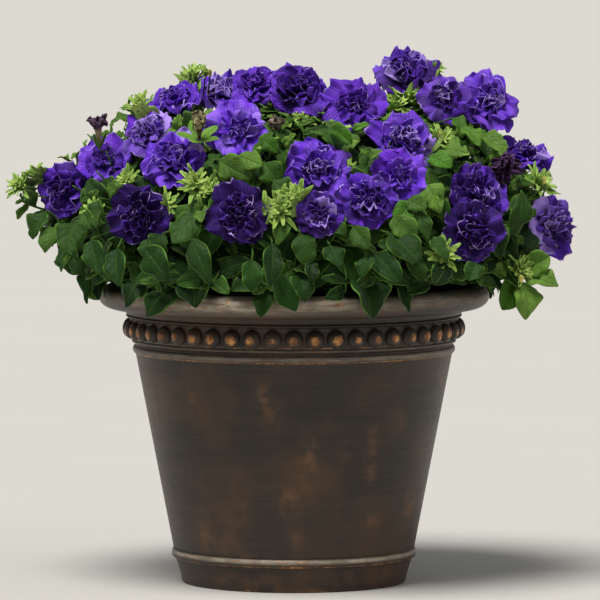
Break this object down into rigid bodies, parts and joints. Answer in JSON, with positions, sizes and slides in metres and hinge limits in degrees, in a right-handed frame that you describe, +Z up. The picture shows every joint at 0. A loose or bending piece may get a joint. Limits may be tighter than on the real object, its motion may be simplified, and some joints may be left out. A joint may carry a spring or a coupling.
{
  "type": "potted double petunia",
  "caption": "Double petunia in bloom, mounded over a round tapered planter with a rolled rim, a beaded band and a flat base to stand on.",
  "frame": {"origin": "middle of the pot's flat underside", "axes": "+Z up the pot's axis, -Y towards the front that the picture shows, +X to the viewer's right"},
  "size_m": [0.5838, 0.4697, 0.5503],
  "materials": {
    "planter": "moulded resin with a dark bronze-look paint, rubbed back to copper on the beads, rings and rim",
    "soil": "dark, crumbly potting mix of bark and peat",
    "leaves": "soft, finely haired green leaves and stems, paler at the young tips",
    "petals": "velvety deep violet-blue petals with paler undersides"
  },
  "bodies": {
    "root": {"pot": "planter", "soil": "soil", "branch_01": "leaves", "branch_02": "leaves", "branch_03": "leaves", "branch_04": "leaves", "branch_05": "leaves", "branch_06": "leaves", "branch_07": "leaves", "branch_08": "leaves", "branch_09": "leaves", "branch_10": "leaves", "branch_11": "leaves", "branch_12": "leaves", "branch_13": "leaves", "branch_14": "leaves", "branch_15": "leaves", "branch_16": "leaves", "branch_17": "leaves", "branch_18": "leaves", "branch_19": "leaves", "branch_20": "leaves", "branch_21": "leaves", "branch_22": "leaves", "branch_23": "leaves", "branch_24": "leaves", "flower_01": "petals", "flower_02": "petals", "flower_03": "petals", "flower_04": "petals", "flower_05": "petals", "flower_06": "petals", "flower_07": "petals", "flower_08": "petals", "flower_09": "petals", "flower_10": "petals", "flower_11": "petals", "flower_12": "petals", "flower_13": "petals", "flower_14": "petals", "flower_15": "petals", "flower_16": "petals", "flower_17": "petals", "flower_18": "petals", "flower_19": "petals", "flower_20": "petals", "flower_21": "petals", "flower_22": "petals", "flower_23": "petals", "flower_24": "petals", "flower_25": "petals", "flower_26": "petals", "flower_27": "petals", "flower_28": "petals", "flower_29": "petals", "flower_30": "petals", "flower_31": "petals", "flower_32": "petals", "flower_33": "petals"}
  },
  "joints": []
}
